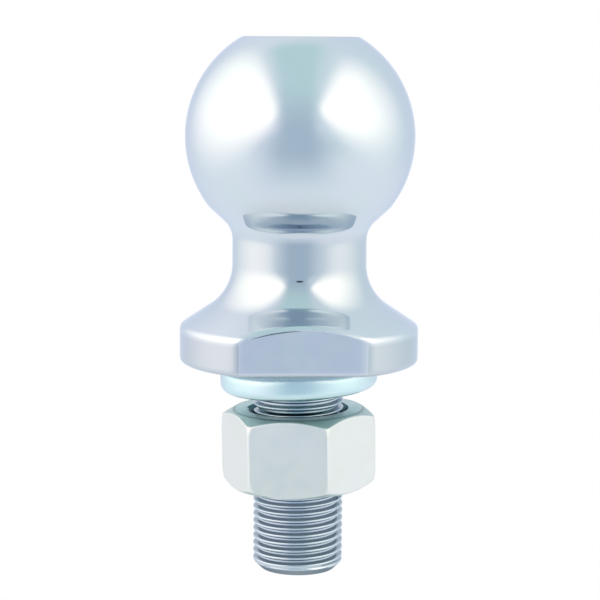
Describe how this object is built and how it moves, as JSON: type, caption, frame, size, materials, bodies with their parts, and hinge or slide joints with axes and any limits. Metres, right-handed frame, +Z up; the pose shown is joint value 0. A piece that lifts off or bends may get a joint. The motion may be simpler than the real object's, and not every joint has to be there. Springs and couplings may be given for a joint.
{
  "type": "threaded tow ball",
  "caption": "Tow ball with a flat top, neck, flared collar with wrench flats and threaded shank, with a split lock washer and a hex nut that screws along the shank.",
  "frame": {"origin": "centre of the shank's end face, which the part stands on", "axes": "+Z up the shank's axis, through the ball; -Y is the side that the picture shows, square to one wrench flat to within 3 degrees; +X to its right"},
  "size_m": [0.05, 0.0476, 0.1118],
  "materials": {
    "bright_plating": "bright plated steel, smooth on the ball and faintly brushed on the wrench flats",
    "washer_zinc": "blue-tinted bright zinc",
    "nut_zinc": "satin clear zinc"
  },
  "bodies": {
    "ball": {"tow_ball": "bright_plating"},
    "washer": {"lock_washer": "washer_zinc"},
    "nut": {"hex_nut": "nut_zinc"}
  },
  "joints": [
    {"name": "washer_slide", "type": "slide", "parent": "ball", "child": "washer", "axis": [0, 0, 1], "range_m": [-0.03492, 0]},
    {"name": "nut_turn", "type": "hinge", "parent": "washer", "child": "nut", "pos_m": [0, 0, 0.02605], "axis": [0, 0, 1], "range_deg": [-7920, 0]}
  ],
  "couplings": [
    {"joint": "nut_turn", "follows": "washer_slide", "rad_per_m": 3957.9}
  ]
}
